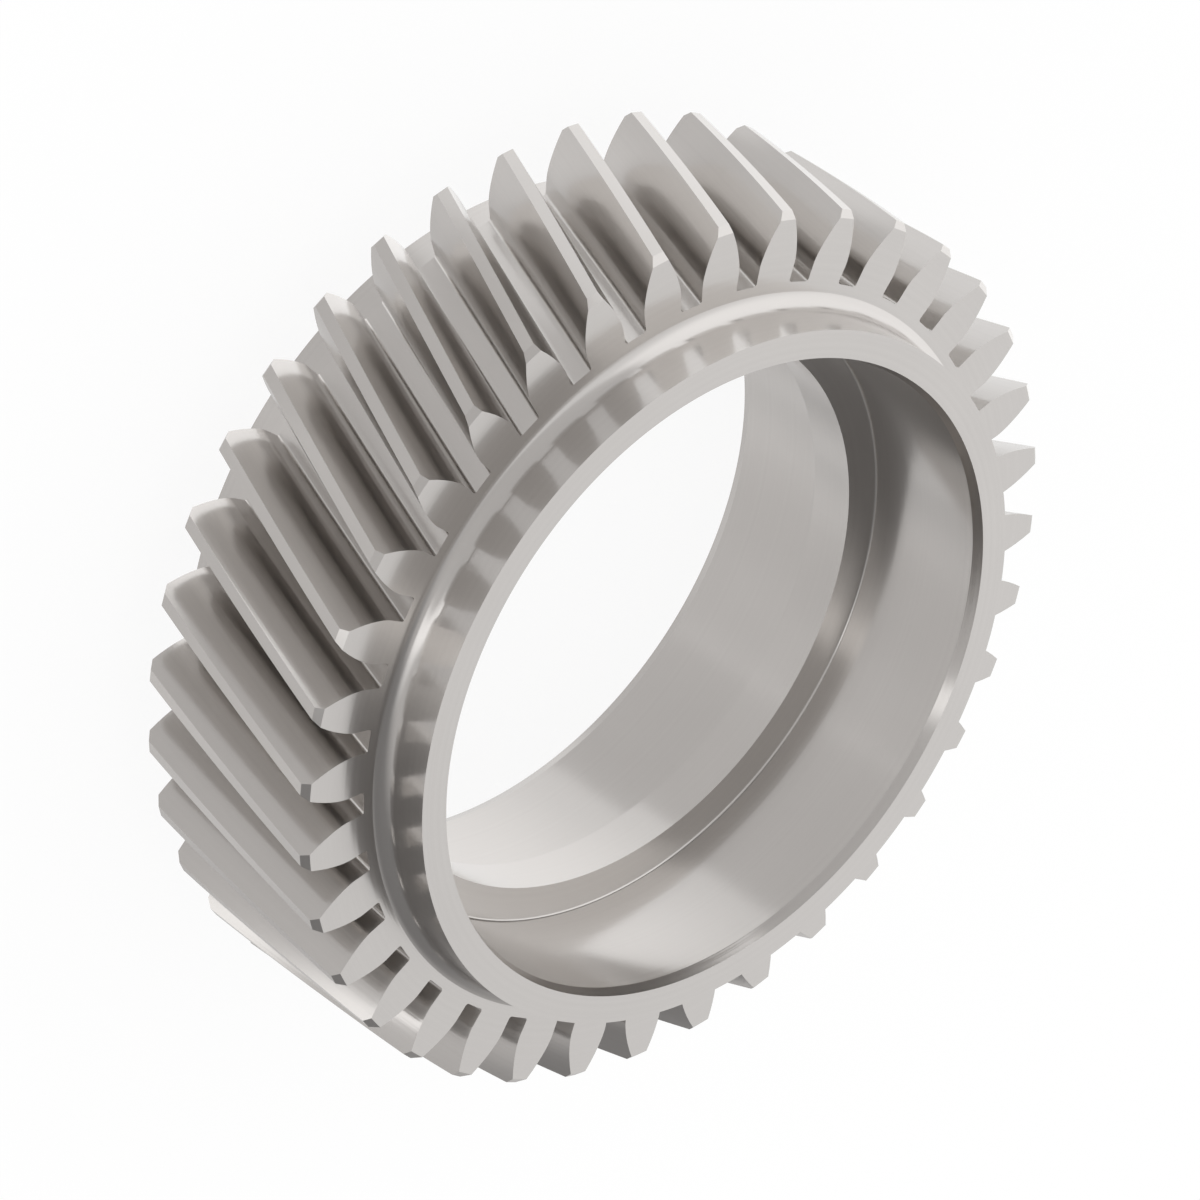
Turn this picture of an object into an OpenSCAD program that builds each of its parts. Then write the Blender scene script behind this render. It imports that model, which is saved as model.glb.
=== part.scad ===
// Helical idler gear, turned and hobbed from one steel ring.
// It stands on its back end face: the axis is +Z and the origin is the centre of that face.
// A bearing is pressed in from each end, against a rib in the middle of the bore.

/* [Bearing seats] */
// Diameter of the seat that each bearing is pressed into
seat_diameter = 80; // [70:0.5:90]
// Depth of each seat, the width of its bearing
seat_depth = 18; // [12:0.5:24]
// Corner radius where a seat meets the rib
seat_corner = 0.3; // [0.1:0.05:0.8]
// How much wider a seat opens at its mouth, on the radius
lead_in_width = 0.5; // [0.2:0.05:1.2]
// How deep the lead-in of the mouth reaches
lead_in_depth = 1.25; // [0.5:0.05:2.5]

/* [Rib between the bearings] */
// Length of the rib along the axis
rib_length = 6; // [3:0.5:12]
// Height of the rib above the seats, on the radius
rib_height = 4.3; // [2:0.1:8]

/* [Collars] */
// Wall of the plain collar round each bearing
collar_wall = 4; // [2.5:0.1:8]
// How far each collar stands out beyond the ends of the teeth
collar_reach = 6.7; // [3:0.1:10]
// Step on the radius from the collar out to the bottom of the tooth gaps
collar_step = 2.9; // [1.5:0.1:6]
// Radius of the cove between the collar and the ends of the teeth
cove_radius = 2; // [0.5:0.1:3]

/* [Teeth] */
// Number of teeth
tooth_count = 36; // [30:1:44]
// Helix angle at the reference circle, right-hand
helix_angle = 20.5; // [5:0.5:35]
// Pressure angle, measured square to the teeth
pressure_angle = 20; // [16:0.5:23]
// Depth of the teeth from tip to gap bottom
tooth_depth = 8.7; // [6:0.1:9.5]
// How much thinner than half the pitch each tooth is, along the reference circle
thinning = 0.7; // [0:0.05:1.2]
// Corner radius at the bottom of the tooth gaps
gap_corner = 0.35; // [0.1:0.05:0.5]
// Bevel that the blank has round the tooth tips at both ends
tip_bevel = 0.8; // [0.2:0.1:2]

/* [Hidden] */
$fn = 180;
steel = [0.79, 0.775, 0.76];
flank_steps = 4;            // straight stretches along one involute flank
corner_steps = 2;           // straight stretches round one gap corner
helix_steps = 3;            // stretches along the full-height part of the teeth
cove_run_out = 10;          // angle between a cove and the end plane of the teeth, where they meet
cove_share_of_step = 0.9;   // widest cove that the step leaves room for
cove_share_of_reach = 0.6;  // tallest cove that the collar leaves room for
buried_share = 0.3;         // how far the hub reaches into the toothed ring
hair = 0.01;                // least distance kept between two points of a flank

// Radii of the turned blank, from the bore outwards
seat_r = seat_diameter / 2;
rib_r = seat_r - rib_height;
mouth_r = seat_r + lead_in_width;
collar_r = seat_r + collar_wall;
root_r = collar_r + collar_step;
tip_r = root_r + tooth_depth;
cove_r = min(cove_radius, collar_step * cove_share_of_step, collar_reach * cove_share_of_reach);
cove_centre_r = collar_r + cove_r;
buried_r = cove_centre_r + buried_share * (root_r - cove_centre_r);
ring_hole_r = collar_r + cove_r / 2;

// Heights above the back end face, and half lengths from the middle plane
gear_length = 2 * seat_depth + rib_length;
half_length = gear_length / 2;
half_rib = rib_length / 2;
half_face = half_length - collar_reach;
cove_centre_z = half_face + cove_r * cos(cove_run_out);

// Tooth geometry in the plane across the axis
normal_module = 2 * tip_r / (tooth_count / cos(helix_angle) + 2);
reference_r = tip_r - normal_module;
transverse_angle = atan(tan(pressure_angle) / cos(helix_angle));
base_r = reference_r * cos(transverse_angle);
pitch_angle = 360 / tooth_count;
tooth_thickness = PI * reference_r / tooth_count - thinning;
half_at_reference = degrees_of(tooth_thickness / reference_r / 2);
half_at_base = half_at_reference + roll(tan(transverse_angle));
corner_centre_r = root_r + gap_corner;
corner_end_r = sqrt(pow(corner_centre_r, 2) - pow(gap_corner, 2));
flank_start_r = max(base_r, corner_end_r + hair);
turn_per_mm = degrees_of(tan(helix_angle) / reference_r);

// Corners of one tooth outline: each side of it, then the middle of the gap
side_points = flank_steps + corner_steps + 2;
outline_points = 2 * side_points + 1;

function degrees_of(radians) = radians * 180 / PI;

function polar(radius, angle) = [radius * cos(angle), radius * sin(angle)];

// Angle by which an involute leans back, for the tangent of its pressure angle
function roll(tangent) = degrees_of(tangent) - atan(tangent);

// Tangent of the pressure angle that the involute has at a radius
function tangent_at(radius) = sqrt(max(0, pow(radius / base_r, 2) - 1));

// Point on the upper flank at a share of the way from the flank's start to the tip
function flank_point(share, top_r) =
    let(start = tangent_at(flank_start_r),
        tangent = start + share * (tangent_at(top_r) - start))
    polar(base_r * sqrt(1 + tangent * tangent), half_at_base - roll(tangent));

// Point on the rounded corner at a share of the way from the gap bottom to the flank
function corner_point(share) =
    let(wall_angle = half_at_base - roll(tangent_at(flank_start_r)),
        lean = asin(gap_corner / corner_centre_r),
        direction = wall_angle + lean + 180 + share * (90 - lean))
    polar(corner_centre_r, wall_angle + lean) + polar(gap_corner, direction);

// Upper side of a tooth, from the tip down to the corner of the gap
function tooth_side(top_r) = concat(
    [for (i = [flank_steps:-1:0]) flank_point(i / flank_steps, top_r)],
    [for (i = [corner_steps:-1:0]) corner_point(i / corner_steps)]);

// One tooth and the middle of the gap after it, counter-clockwise and centred on +X
function tooth_outline(top_r) =
    let(side = tooth_side(top_r))
    concat(
        [for (i = [side_points - 1:-1:0]) [side[i][0], -side[i][1]]],
        side,
        [polar(root_r, pitch_angle / 2)]);

// An outline repeated for every tooth at one height, turned along the helix
function ring_at(z, outline) = [
    for (k = [0:tooth_count - 1], point = outline)
        let(turn = z * turn_per_mm + k * pitch_angle)
        [point[0] * cos(turn) - point[1] * sin(turn),
         point[0] * sin(turn) + point[1] * cos(turn),
         z]];

// Ring of helical teeth about the middle plane, with the tips bevelled at both ends
module toothed_ring() {
    full_half = half_face - tip_bevel;
    levels = concat(
        [[-half_face, tip_r - tip_bevel]],
        [for (i = [0:helix_steps]) [full_half * (2 * i / helix_steps - 1), tip_r]],
        [[half_face, tip_r - tip_bevel]]);
    count = tooth_count * outline_points;
    front = (len(levels) - 1) * count;

    // The hole is cut to the gap corners and gap middles, three points to a tooth
    hole_places = [0, outline_points - 2, outline_points - 1];
    outline = tooth_outline(tip_r);
    hole = [for (i = hole_places) outline[i] * ring_hole_r / norm(outline[i])];
    hole_count = len(hole_places) * tooth_count;
    hole_back = len(levels) * count;
    hole_front = hole_back + hole_count;
    gap_corners = [for (k = [0:tooth_count - 1], i = hole_places) k * outline_points + i];

    walls = [for (level = [0:len(levels) - 2], i = [0:count - 1])
        let(a = level * count + i, b = level * count + (i + 1) % count)
        each [[a + count, b, a], [a + count, b + count, b]]];
    tooth_ends = [for (k = [0:tooth_count - 1], j = [0:side_points - 2])
        let(a = k * outline_points + j, b = k * outline_points + 2 * side_points - 1 - j)
        each [[a, a + 1, b - 1, b], [front + b, front + b - 1, front + a + 1, front + a]]];
    rim = [for (i = [0:hole_count - 1])
        let(n = (i + 1) % hole_count, a = gap_corners[i], b = gap_corners[n])
        each [
            [a, b, hole_back + n, hole_back + i],
            [front + b, front + a, hole_front + i, hole_front + n],
            [hole_back + i, hole_back + n, hole_front + i],
            [hole_back + n, hole_front + n, hole_front + i]]];
    polyhedron(
        points = concat(
            [for (level = levels) each ring_at(level[0], tooth_outline(level[1]))],
            ring_at(-half_face, hole),
            ring_at(half_face, hole)),
        faces = concat(walls, tooth_ends, rim),
        convexity = 12);
}

// Half of the turned section, from the middle of the rib out to one end face
module half_section() {
    corner_r = seat_r - seat_corner;
    corner_z = half_rib + seat_corner;
    difference() {
        polygon([
            [rib_r, 0], [rib_r, half_rib],
            [corner_r, half_rib], [corner_r, corner_z], [seat_r, corner_z],
            [seat_r, half_length - lead_in_depth], [mouth_r, half_length],
            [collar_r, half_length], [collar_r, cove_centre_z],
            [cove_centre_r, cove_centre_z],
            [cove_centre_r, cove_centre_z - cove_r], [buried_r, cove_centre_z - cove_r],
            [buried_r, 0]]);
        translate([corner_r, corner_z]) circle(seat_corner);
        translate([cove_centre_r, cove_centre_z]) circle(cove_r);
    }
}

// Bore, rib and collars in one turned piece, which the ring of teeth closes round
module hub() {
    rotate_extrude() {
        half_section();
        mirror([0, 1]) half_section();
    }
}

module helical_gear() {
    color(steel) translate([0, 0, half_length]) {
        toothed_ring();
        hub();
    }
}

helical_gear();
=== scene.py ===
# %% [markdown]
# Helical idler gear
#
# A gear like this starts as a turned steel ring. A lathe makes the bore with its two bearing
# seats, the rib between them and a plain collar at each end; a hob then cuts the teeth and a
# grinding wheel finishes them. The scene follows the same order: a turned section, a tooth
# profile, one pitch of the gear, and then the whole gear by repeating that pitch.

# %% Load the solid model
import math

import bmesh
import bpy
from mathutils import Matrix, Vector


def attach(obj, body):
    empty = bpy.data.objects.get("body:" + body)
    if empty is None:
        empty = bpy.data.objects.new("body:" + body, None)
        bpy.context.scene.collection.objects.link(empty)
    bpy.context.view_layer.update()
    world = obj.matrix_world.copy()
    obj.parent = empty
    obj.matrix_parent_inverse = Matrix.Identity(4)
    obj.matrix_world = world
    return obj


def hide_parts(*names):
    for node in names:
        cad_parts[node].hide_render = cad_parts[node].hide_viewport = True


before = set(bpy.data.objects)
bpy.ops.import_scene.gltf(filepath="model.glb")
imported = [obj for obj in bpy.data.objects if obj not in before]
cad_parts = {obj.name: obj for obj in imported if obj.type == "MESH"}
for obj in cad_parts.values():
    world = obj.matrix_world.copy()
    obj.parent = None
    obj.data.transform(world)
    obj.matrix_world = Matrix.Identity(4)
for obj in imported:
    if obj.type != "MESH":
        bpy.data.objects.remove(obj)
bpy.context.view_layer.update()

# %% [markdown]
# Sizes
#
# These are the numbers a drawing of the gear would carry, in millimetres and degrees. Everything
# else is worked out from them, so a change to one keeps the rest in step.

# %% Sizes
mm = 0.001  # a millimetre in the scene's metres
seat_r, seat_depth, seat_corner = 40.0, 18.0, 0.3
lead_in_width, lead_in_depth = 0.5, 1.25
rib_length, rib_height = 6.0, 4.3
collar_wall, collar_reach, collar_step = 4.0, 6.7, 2.9
cove_r, cove_run_out = 2.0, 10.0
teeth, helix_angle, pressure_angle = 36, 20.5, 20.0
tooth_depth, thinning, gap_corner, tip_bevel = 8.7, 0.7, 0.35, 0.8

rib_r = seat_r - rib_height
mouth_r = seat_r + lead_in_width
collar_r = seat_r + collar_wall
root_r = collar_r + collar_step
tip_r = root_r + tooth_depth
half_length = seat_depth + rib_length / 2
half_face = half_length - collar_reach
cove_centre = (collar_r + cove_r, half_face + cove_r * math.cos(math.radians(cove_run_out)))
print("tip diameter", 2 * tip_r, "mm, length", 2 * half_length, "mm")

# %% [markdown]
# The turned section
#
# A lathe part is one outline swung round an axis. Only half of it is written down here, from
# the middle of the rib out to the foot of the cove beside the teeth, because the other end is
# its mirror image. Each point is a radius and a height above the middle plane. The points where
# the edge is crisp are listed apart; at all the others the surface runs on smoothly.

# %% Half of the turned section
half_rib_steps, seat_corner_steps, seat_steps, collar_steps, cove_steps = 2, 6, 8, 3, 12


def arc(centre, radius, start, end, steps):
    """Points round a corner of the section, angles in degrees."""
    angles = [math.radians(start + (end - start) * i / steps) for i in range(steps + 1)]
    return [(centre[0] + radius * math.cos(a), centre[1] + radius * math.sin(a)) for a in angles]


def straight(a, b, steps):
    """Points from a to b without a itself."""
    return [tuple(a[k] + (b[k] - a[k]) * i / steps for k in (0, 1)) for i in range(1, steps + 1)]


corner_centre = (seat_r - seat_corner, rib_length / 2 + seat_corner)
rib_edge = (rib_r, rib_length / 2)
seat_end = (seat_r, half_length - lead_in_depth)
mouth, collar_edge = (mouth_r, half_length), (collar_r, half_length)
cove = arc(cove_centre, cove_r, 180, 270 - cove_run_out, cove_steps)

half_section = [(rib_r, 0.0)]
half_section += straight(half_section[-1], rib_edge, half_rib_steps)
half_section += arc(corner_centre, seat_corner, -90, 0, seat_corner_steps)
half_section += straight(half_section[-1], seat_end, seat_steps)
half_section += [mouth, collar_edge]
half_section += straight(collar_edge, cove[0], collar_steps) + cove[1:]
crisp_points = {rib_edge, seat_end, mouth, collar_edge, cove[-1]}
print(len(half_section), "points in half the section,", len(crisp_points), "of them crisp")

# %% [markdown]
# The tooth profile
#
# Gear flanks are involutes: the path of the end of a string that is unwound from a circle, the
# base circle. Two gears with such flanks turn each other at a steady ratio of speeds. Below the
# base circle there is no involute, and the flank goes straight down to a small corner at the
# bottom of the gap. The sizes at the reference circle give the base circle, as on a drawing.

# %% Tooth sizes
helix, pressure = math.radians(helix_angle), math.radians(pressure_angle)
normal_module = 2 * tip_r / (teeth / math.cos(helix) + 2)
reference_r = tip_r - normal_module
transverse_pressure = math.atan(math.tan(pressure) / math.cos(helix))
base_r = reference_r * math.cos(transverse_pressure)
pitch = 2 * math.pi / teeth
tooth_thickness = math.pi * reference_r / teeth - thinning
turn_per_mm = math.tan(helix) / reference_r
print(f"normal module {normal_module:.3f} mm, base circle {2 * base_r:.2f} mm across")

# %% One side of a tooth
flank_steps, gap_corner_steps = 9, 4


def roll(tangent):
    """How far an involute leans back where its pressure angle has this tangent."""
    return tangent - math.atan(tangent)


def tangent_at(radius):
    """The tangent of the pressure angle that the involute has at a radius."""
    return math.sqrt(max(0.0, (radius / base_r) ** 2 - 1))


def polar(radius, angle):
    """The point at a radius and an angle in radians."""
    return Vector((radius * math.cos(angle), radius * math.sin(angle)))


half_at_base = tooth_thickness / reference_r / 2 + roll(math.tan(transverse_pressure))
gap_centre_r = root_r + gap_corner
lean = math.asin(gap_corner / gap_centre_r)


def tooth_half(top_r):
    """The upper side from the middle of the gap to the middle of the tip, seen along the axis."""
    points = [polar(root_r, pitch / 2), polar(root_r, (pitch / 2 + half_at_base + lean) / 2)]
    middle = polar(gap_centre_r, half_at_base + lean)
    for i in range(gap_corner_steps + 1):
        turn = half_at_base + lean + math.pi + (math.pi / 2 - lean) * i / gap_corner_steps
        points.append(middle + polar(gap_corner, turn))
    top = tangent_at(top_r)
    for i in range(flank_steps + 1):
        tangent = top * i / flank_steps
        points.append(polar(base_r * math.sqrt(1 + tangent ** 2), half_at_base - roll(tangent)))
    return points + [polar(top_r, 0)]


def tooth_outline(top_r):
    """A whole pitch, counter-clockwise from one gap middle to the next."""
    upper = tooth_half(top_r)
    lower = [Vector((p.x, -p.y)) for p in upper]
    return lower + upper[-2::-1]


profile = tooth_outline(tip_r)
crest = len(profile) // 2
print(len(profile), "points in one pitch; the tip is", f"{2 * profile[crest + 1].y:.2f} mm wide")

# %% [markdown]
# One pitch of the gear
#
# The wedge below holds one tooth and everything under it, down to the bore: ten degrees of
# the gear. It is built straight, like a spur gear, because that keeps the arithmetic plain;
# the twist comes in a later step. The turned surfaces are one coarse grid, the tooth is a finer
# one, and a single flat face closes each end between them. At both ends the outline has a lower
# tip, which leaves the bevel that the turned blank had there. Crisp edges are marked here, and
# a mark on the faces of the tooth tells the two finishes apart later.

# %% Grids, crisp edges and objects
def add_grid(mesh, rows):
    """Vertices for every row, and the faces between neighbouring rows."""
    verts = [[mesh.verts.new(point) for point in row] for row in rows]
    faces = [
        mesh.faces.new((upper[i], upper[i + 1], lower[i + 1], lower[i]))
        for upper, lower in zip(verts, verts[1:])
        for i in range(len(upper) - 1)
    ]
    return verts, faces


def crease(mesh, row):
    """Mark the edges along a row of vertices as crisp."""
    for a, b in zip(row, row[1:]):
        mesh.edges.get((a, b)).smooth = False


def put_in_scene(name, data):
    """A new object of the scene for a mesh or a camera."""
    piece = bpy.data.objects.new(name, data)
    bpy.context.scene.collection.objects.link(piece)
    return piece


# %% Turned surfaces of the wedge
turned_columns = 12
mesh = bmesh.new()
toothed = mesh.faces.layers.float.new("toothed")

section = half_section[::-1] + [(r, -z) for r, z in half_section[1:]]
angles = [-pitch / 2 + pitch * i / turned_columns for i in range(turned_columns + 1)]
turned, _ = add_grid(mesh, [[(*polar(r, a), z) for a in angles] for r, z in section])
for row, (r, z) in zip(turned, section):
    if (r, abs(z)) in crisp_points:
        crease(mesh, row)
print(len(mesh.faces), "turned faces")

# %% Tooth of the wedge
tooth_rows = 12
full_half = half_face - tip_bevel
levels = [(half_face, tip_r - tip_bevel)]
levels += [(full_half * (1 - 2 * i / tooth_rows), tip_r) for i in range(tooth_rows + 1)]
levels += [(-half_face, tip_r - tip_bevel)]
tooth, tooth_faces = add_grid(
    mesh, [[(p.x, p.y, z) for p in tooth_outline(top)] for z, top in levels])
for face in tooth_faces:
    face[toothed] = 1.0
for row in (tooth[0], tooth[-1]):
    crease(mesh, row)
for row in (tooth[1], tooth[-2]):
    crease(mesh, row[crest - 1:crest + 2])
for column in (crest - 1, crest + 1):
    crease(mesh, [row[column] for row in tooth])
print(len(tooth_faces), "faces on the tooth")

# %% Close the wedge
for rim, outline in ((turned[0], tooth[0]), (turned[-1], tooth[-1])):
    mesh.faces.new(rim + outline[::-1])
for face in mesh.faces:
    face.smooth = True
mesh.transform(Matrix.Scale(mm, 4))
wedge_mesh = bpy.data.meshes.new("gear_wedge")
mesh.to_mesh(wedge_mesh)
mesh.free()
wedge = put_in_scene("gear_wedge", wedge_mesh)
print(len(wedge_mesh.polygons), "faces in the wedge")

# %% [markdown]
# Node helper
#
# Both the geometry tree and the materials are built in the script. One class wraps an output
# socket and turns Python's operators into Math nodes, so that a pattern reads like a formula.
# Another adds a node, sets it up and links it in one call.

# %% Shader maths
class Value:
    """An output socket that can be added to, multiplied and so on."""

    def __init__(self, tree, socket):
        self.tree, self.socket = tree, socket

    def maths(self, operation, *others, flipped=False):
        """A Math node on this value and others; flipped takes them from last to first."""
        values = [self, *others][::-1] if flipped else [self, *others]
        return self.tree.add("ShaderNodeMath", {"operation": operation}, dict(enumerate(values)))

    def __add__(self, other):
        return self.maths("ADD", other)

    def __sub__(self, other):
        return self.maths("SUBTRACT", other)

    def __mul__(self, other):
        return self.maths("MULTIPLY", other)

    def __truediv__(self, other):
        return self.maths("DIVIDE", other)

    def __rsub__(self, other):
        return self.maths("SUBTRACT", other, flipped=True)

    def __rtruediv__(self, other):
        return self.maths("DIVIDE", other, flipped=True)

    def __pow__(self, other):
        return self.maths("POWER", other)

    __radd__, __rmul__ = __add__, __mul__


class Tree:
    """A node tree with one method that adds a node, sets it up and links it."""

    def __init__(self, nodes):
        self.nodes = nodes

    def add(self, kind, settings=None, inputs=None, output=0):
        """A new node with its settings and inputs; gives back the output that is asked for."""
        node = self.nodes.nodes.new(kind)
        for name, value in (settings or {}).items():
            setattr(node, name, value)
        for name, value in (inputs or {}).items():
            if isinstance(value, Value):
                self.nodes.links.new(value.socket, node.inputs[name])
            else:
                node.inputs[name].default_value = value
        return Value(self, node.outputs[output]) if len(node.outputs) else node


def empty_tree(owner):
    """The nodes of a material or a world, switched on and emptied."""
    owner.use_nodes = True
    owner.node_tree.nodes.clear()
    return Tree(owner.node_tree)


# %% [markdown]
# Finish
#
# The photo shows bare steel, smooth but not polished, in a slightly warm grey. The lathe tool
# leaves fine rings round the turned faces, and the grinding wheel fine lines along the teeth.
# They make the shade, the relief and the roughness waver a little. What such a surface mirrors is
# fairly crisp with a wide faint glow round it, and one roughness can't give both, so the shader
# mixes a smoother metal with a share of a rougher one.

# %% Steel finishes
steel_colour = (0.578, 0.558, 0.539)
smooth, rough, rough_share = 0.15, 0.32, 0.3
shade_waver, roughness_waver = 0.06, 0.05
relief_depth, relief_strength = 0.02 * mm, 0.25
line_pattern = {"Scale": 1.0, "Detail": 2.0, "Roughness": 0.6}
cloud_pattern = {"Scale": 60.0, "Detail": 3.0}


def steel(name, along_axis, line_width):
    """Bare steel with fine lines, which follow the radius, and the height if along_axis is 1."""
    material = bpy.data.materials.new(name)
    tree = empty_tree(material)
    place = tree.add("ShaderNodeTexCoord", output="Object")
    x, y, z = (tree.add("ShaderNodeSeparateXYZ", None, {0: place}, axis) for axis in "XYZ")
    across = (x * x + y * y) ** 0.5 + z * along_axis
    lines = tree.add("ShaderNodeTexNoise", {"noise_dimensions": "1D"},
                     {"W": across / (line_width * mm), **line_pattern})
    cloud = tree.add("ShaderNodeTexNoise", {"noise_dimensions": "3D"},
                     {"Vector": place, **cloud_pattern})
    waver = (lines - 0.5) + (cloud - 0.5)
    colour = tree.add("ShaderNodeVectorMath", {"operation": "SCALE"},
                      {0: steel_colour, "Scale": 1 + shade_waver * waver})
    relief = tree.add("ShaderNodeBump", None, {
        "Strength": relief_strength, "Distance": relief_depth, "Height": lines})
    crisp, glow = (
        tree.add("ShaderNodeBsdfPrincipled", None, {
            "Base Color": colour, "Metallic": 1.0, "Normal": relief,
            "Roughness": level + roughness_waver * waver})
        for level in (smooth, rough))
    mixed = tree.add("ShaderNodeMixShader", None, {0: rough_share, 1: crisp, 2: glow})
    tree.add("ShaderNodeOutputMaterial", None, {"Surface": mixed})
    return material


turned_steel = steel("turned_steel", 1.0, 0.5)
ground_steel = steel("ground_steel", 0.0, 0.4)
print("finishes:", turned_steel.name, ground_steel.name)

# %% [markdown]
# From one pitch to the gear
#
# Geometry Nodes twist the wedge into a helix and repeat it. Twisting turns each point about the
# axis by an angle that grows with its height; turned surfaces stay where they are, because a
# circle turned about its own centre is the same circle. Neighbouring pitches share the points
# where they meet, so merging those leaves one closed skin. The number of teeth and the turn for
# each metre of height are inputs of the tree.

# %% Inputs of the geometry tree
merge_distance = 0.002 * mm
input_kinds = {
    "Geometry": "NodeSocketGeometry", "Teeth": "NodeSocketInt",
    "Turn per metre": "NodeSocketFloat", "Lift": "NodeSocketFloat",
    "Turned finish": "NodeSocketMaterial", "Ground finish": "NodeSocketMaterial"}
nodes = bpy.data.node_groups.new("helical_gear", "GeometryNodeTree")
sockets = {
    label: nodes.interface.new_socket(label, in_out="INPUT", socket_type=kind)
    for label, kind in input_kinds.items()}
nodes.interface.new_socket("Geometry", in_out="OUTPUT", socket_type="NodeSocketGeometry")
tree = Tree(nodes)
group_input = nodes.nodes.new("NodeGroupInput")
given = {label: Value(tree, group_input.outputs[label]) for label in sockets}
print("inputs of the tree:", ", ".join(given))

# %% Geometry tree
position = tree.add("GeometryNodeInputPosition")
height = tree.add("ShaderNodeSeparateXYZ", None, {0: position}, "Z")
twisted = tree.add("ShaderNodeVectorRotate", {"rotation_type": "Z_AXIS"},
                   {"Vector": position, "Angle": height * given["Turn per metre"]})
helical = tree.add("GeometryNodeSetPosition", None,
                   {"Geometry": given["Geometry"], "Position": twisted})
points = tree.add("GeometryNodePoints", None, {"Count": given["Teeth"]})
index = tree.add("GeometryNodeInputIndex")
heading = tree.add("ShaderNodeCombineXYZ", None, {"Z": index * (2 * math.pi) / given["Teeth"]})
ring = tree.add("GeometryNodeInstanceOnPoints", None,
                {"Points": points, "Instance": helical, "Rotation": heading})
whole = tree.add("GeometryNodeRealizeInstances", None, {0: ring})
joined = tree.add("GeometryNodeMergeByDistance", None,
                  {"Geometry": whole, "Distance": merge_distance})
lift = tree.add("ShaderNodeCombineXYZ", None, {"Z": given["Lift"]})
standing = tree.add("GeometryNodeTransform", None, {"Geometry": joined, "Translation": lift})
plain = tree.add("GeometryNodeSetMaterial", None,
                 {"Geometry": standing, "Material": given["Turned finish"]})
is_tooth = tree.add("GeometryNodeInputNamedAttribute", {"data_type": "FLOAT"},
                    {"Name": "toothed"})
finished = tree.add("GeometryNodeSetMaterial", None, {
    "Geometry": plain, "Selection": is_tooth, "Material": given["Ground finish"]})
group_output = nodes.nodes.new("NodeGroupOutput")
nodes.links.new(finished.socket, group_output.inputs[0])
print(len(nodes.nodes), "nodes in the tree")

# %% The whole gear
wedge_mesh.materials.append(turned_steel)
modifier = wedge.modifiers.new("gear", "NODES")
modifier.node_group = nodes
choices = {
    "Teeth": teeth, "Turn per metre": turn_per_mm / mm, "Lift": half_length * mm,
    "Turned finish": turned_steel, "Ground finish": ground_steel}
for label, value in choices.items():
    modifier[sockets[label].identifier] = value
bpy.context.view_layer.update()
depsgraph = bpy.context.evaluated_depsgraph_get()
gear_mesh = bpy.data.meshes.new_from_object(wedge.evaluated_get(depsgraph))
gear_mesh.name = "gear"
wedge.modifiers.remove(modifier)
bpy.data.objects.remove(wedge)
gear = put_in_scene("gear", gear_mesh)
print("materials:", [m.name for m in gear_mesh.materials])

# %% Normals and a check of the mesh
mesh = bmesh.new()
mesh.from_mesh(gear_mesh)
bmesh.ops.recalc_face_normals(mesh, faces=mesh.faces)
open_edges = sum(len(edge.link_faces) != 2 for edge in mesh.edges)
crisp_edges = sum(not edge.smooth for edge in mesh.edges)
triangles = sum(len(face.verts) - 2 for face in mesh.faces)
volume = mesh.calc_volume(signed=True) / mm ** 3
mesh.to_mesh(gear_mesh)
mesh.free()
print(f"{triangles} triangles, {crisp_edges} crisp edges, {open_edges} open, {volume:.0f} mm3")

# %% [markdown]
# Floor and light
#
# The photo is a cut-out on white. A white floor and a white world give that background to the
# camera, and the floor keeps only a breath of the gear's shadow. The metal looks straight
# through the floor, at the same white world and at what stands lower down. The floor lies a
# fiftieth of a millimetre under the gear, so that the two faces never fall together.

# %% Floor
floor_reach, floor_drop = 2.0, 0.02 * mm
floor_mesh = bpy.data.meshes.new("floor")
corners = [(x * floor_reach, y * floor_reach, -floor_drop)
           for x, y in ((-1, -1), (1, -1), (1, 1), (-1, 1))]
floor_mesh.from_pydata(corners, [], [(0, 1, 2, 3)])
floor = put_in_scene("floor", floor_mesh)
print("floor", 2 * floor_reach, "m across")

# %% White paper
white = (1, 1, 1, 1)
shadow_share = 0.1
paper = bpy.data.materials.new("white_paper")
tree = empty_tree(paper)
ray = tree.add("ShaderNodeLightPath", output="Is Glossy Ray")
matt = tree.add("ShaderNodeBsdfDiffuse", None, {"Color": white})
glow = tree.add("ShaderNodeEmission", None, {"Color": white, "Strength": 1.0})
clear = tree.add("ShaderNodeBsdfTransparent")
seen = tree.add("ShaderNodeMixShader", None, {0: shadow_share, 1: glow, 2: matt})
either = tree.add("ShaderNodeMixShader", None, {0: ray, 1: seen, 2: clear})
tree.add("ShaderNodeOutputMaterial", None, {"Surface": either})
floor_mesh.materials.append(paper)
print("floor of", paper.name)

# %% White world
world = bpy.data.worlds.new("white_tent")
bpy.context.scene.world = world
tree = empty_tree(world)
sky = tree.add("ShaderNodeBackground", None, {"Color": white, "Strength": 1.0})
tree.add("ShaderNodeOutputWorld", None, {"Surface": sky})
bpy.context.scene.view_settings.view_transform = "Standard"
print("world:", world.name)

# %% [markdown]
# Cloths and soft lights
#
# Bare metal shows what stands round it. In an all-white tent it would look like grey card, so a
# photographer hangs grey and dark cloths and soft lights round it, out of the picture. Each one
# here is a curved sheet at its own distance, aimed at the gear, with an even glow: below 1 for a
# cloth, above 1 for a light. The nearer one hides the farther one. The angles say where its
# middle is and how it is turned, and how far it reaches to each side. Its edges fade out, because
# a hard edge would show in the metal as a line. Deep gaps between the teeth mirror each other
# many times, and a ray may pass several faded edges, so both counts go up from Blender's usual.

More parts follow.
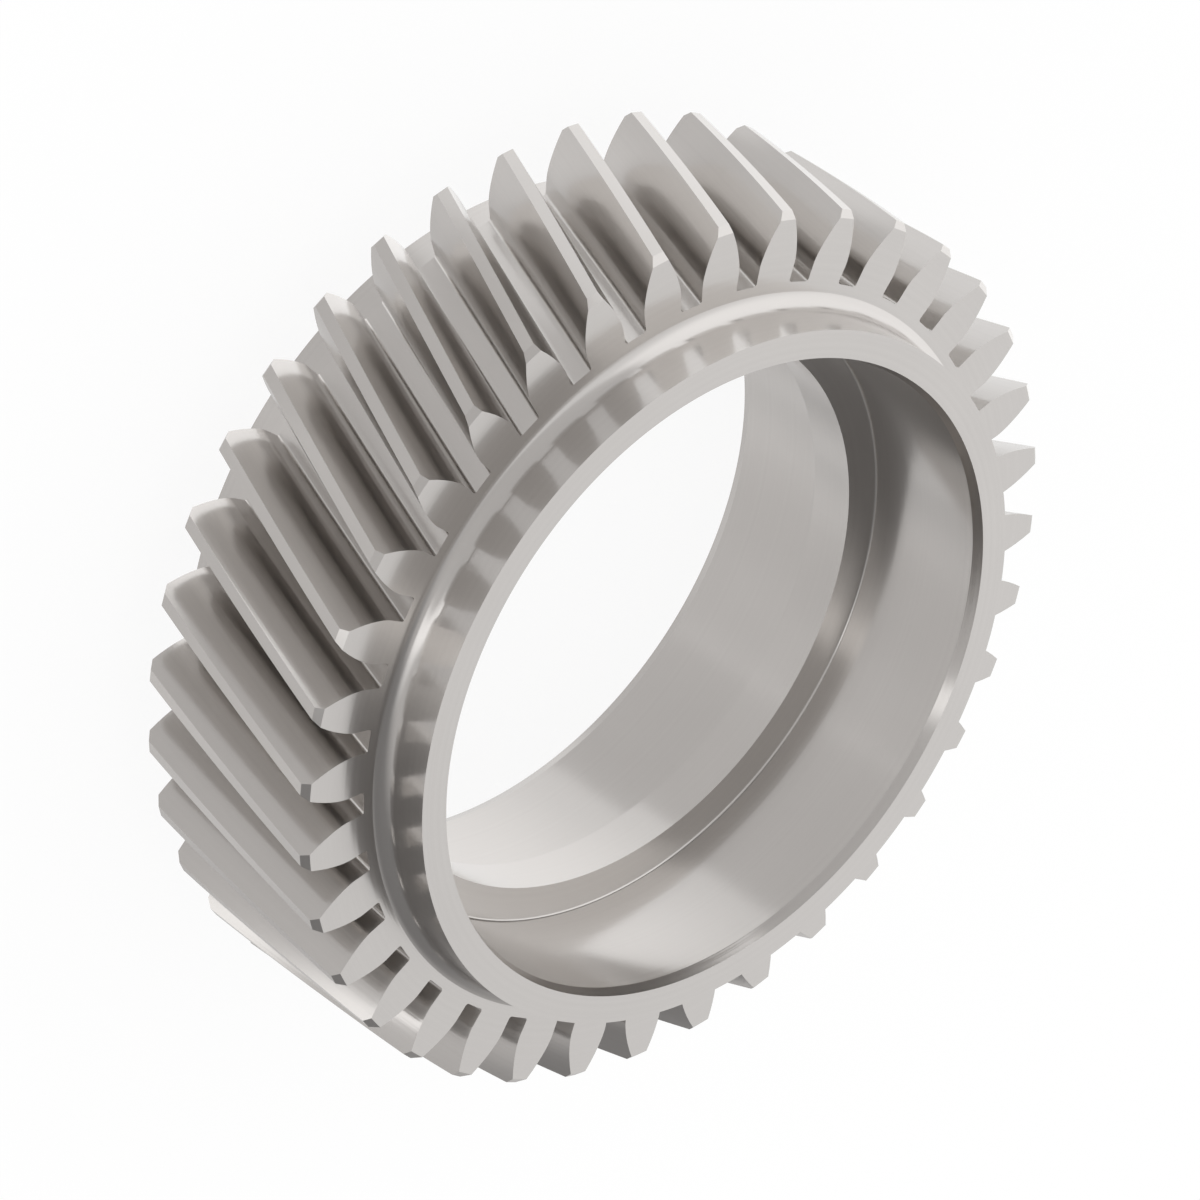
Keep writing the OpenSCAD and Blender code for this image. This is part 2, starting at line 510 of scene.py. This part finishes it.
# %% Helpers for the sheets
sheet_steps = 48
gap_reflections, faded_edges_passed = 8, 32
bpy.context.scene.cycles.glossy_bounces = gap_reflections
bpy.context.scene.cycles.transparent_max_bounces = faded_edges_passed


def direction(azimuth, elevation):
    """The unit vector that points that way, angles in degrees."""
    around, above = math.radians(azimuth), math.radians(elevation)
    level = math.cos(above)
    return Vector((level * math.cos(around), level * math.sin(around), math.sin(above)))


def cover_at(angle, edge, fade):
    """1 well inside the edge of a sheet, 0 well outside it, and a soft step between."""
    share = max(0, min(1, (edge + fade - abs(angle)) / (2 * fade)))
    return share * share * (3 - 2 * share)


def sheet_finish(name, glow):
    """An even glow where the sheet covers, and nothing where it has faded out."""
    finish = bpy.data.materials.new(name)
    finish.cycles.emission_sampling = "NONE"
    tree = empty_tree(finish)
    cover = tree.add("ShaderNodeAttribute", {"attribute_name": "cover"}, output="Fac")
    even = tree.add("ShaderNodeEmission", None, {"Color": (*glow, 1), "Strength": 1.0})
    clear = tree.add("ShaderNodeBsdfTransparent")
    faded = tree.add("ShaderNodeMixShader", None, {0: cover, 1: clear, 2: even})
    tree.add("ShaderNodeOutputMaterial", None, {"Surface": faded})
    return finish


def hang(name, azimuth, elevation, turn, reach, fade, glow, distance):
    """A curved sheet round the gear that only the metal sees, with edges that fade out."""
    facing = (Matrix.Rotation(math.radians(azimuth), 3, "Z")
              @ Matrix.Rotation(math.radians(-elevation), 3, "Y")
              @ Matrix.Rotation(math.radians(turn), 3, "X"))
    across, along = (
        [(edge + fade) * (2 * i / sheet_steps - 1) for i in range(sheet_steps + 1)]
        for edge in reach)
    sheet = bmesh.new()
    cover = sheet.verts.layers.float.new("cover")
    verts, _ = add_grid(
        sheet, [[facing @ direction(x, z) * distance for x in across] for z in along])
    for z, row in zip(along, verts):
        for x, vert in zip(across, row):
            vert[cover] = cover_at(x, reach[0], fade) * cover_at(z, reach[1], fade)
    data = bpy.data.meshes.new(name)
    sheet.to_mesh(data)
    sheet.free()
    data.materials.append(sheet_finish(name, glow))
    piece = put_in_scene(name, data)
    piece.visible_camera = piece.visible_diffuse = False
    print(name, "reaches", reach, "degrees to each side")


# %% Cloths and soft lights
# Name, azimuth, elevation, turn, reach to each side, fade, glow, distance in metres
hang("far_grey_cloth", 80, -25, 154, (73, 73), 5, (0.682, 0.673, 0.668), 2.6)
hang("wide_light", 224, 7, -84, (48, 74), 10, (1.343, 1.343, 1.343), 2.4)
hang("low_light", 41, -60, 21, (61, 8), 15, (1.328, 1.328, 1.328), 2.2)
hang("dark_cloth", 86, 25, 5, (38, 60), 18, (0.266, 0.263, 0.263), 2.0)
hang("near_grey_cloth", 319, 16, -12, (41, 70), 3, (0.674, 0.665, 0.660), 1.8)
hang("strip_light", 8, 10, -97, (40, 5), 3, (1.6, 1.6, 1.6), 1.6)

# %% [markdown]
# Camera
#
# The gear's circles show as ellipses that hardly change from front to back, so the photo was
# taken with a long lens from well away, ten times the gear's width. The camera looks at the
# middle of the gear, and it is rolled until the axis points to the lower right, as it does in
# the photo.

# %% Camera
azimuth, elevation, camera_roll = -24.907, 38.514, math.radians(123.928)
distance, lens, sensor = 1.14869, 299.21, 36.0

target = Vector((0, 0, half_length * mm))
outward = direction(azimuth, elevation)
rise = (Vector((0, 0, 1)) - outward * outward.z).normalized()
side = rise.cross(outward)
up = rise * math.cos(camera_roll) - side * math.sin(camera_roll)
right = up.cross(outward)
camera = put_in_scene("camera", bpy.data.cameras.new("camera"))
camera.data.lens, camera.data.sensor_width = lens, sensor
camera.matrix_world = Matrix.Translation(target + outward * distance) @ Matrix(
    (right, up, outward)).transposed().to_4x4()
bpy.context.scene.camera = camera
print("camera at", [round(v, 4) for v in camera.location])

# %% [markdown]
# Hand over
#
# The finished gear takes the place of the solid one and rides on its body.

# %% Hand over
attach(gear, "root")
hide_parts("helical_gear")
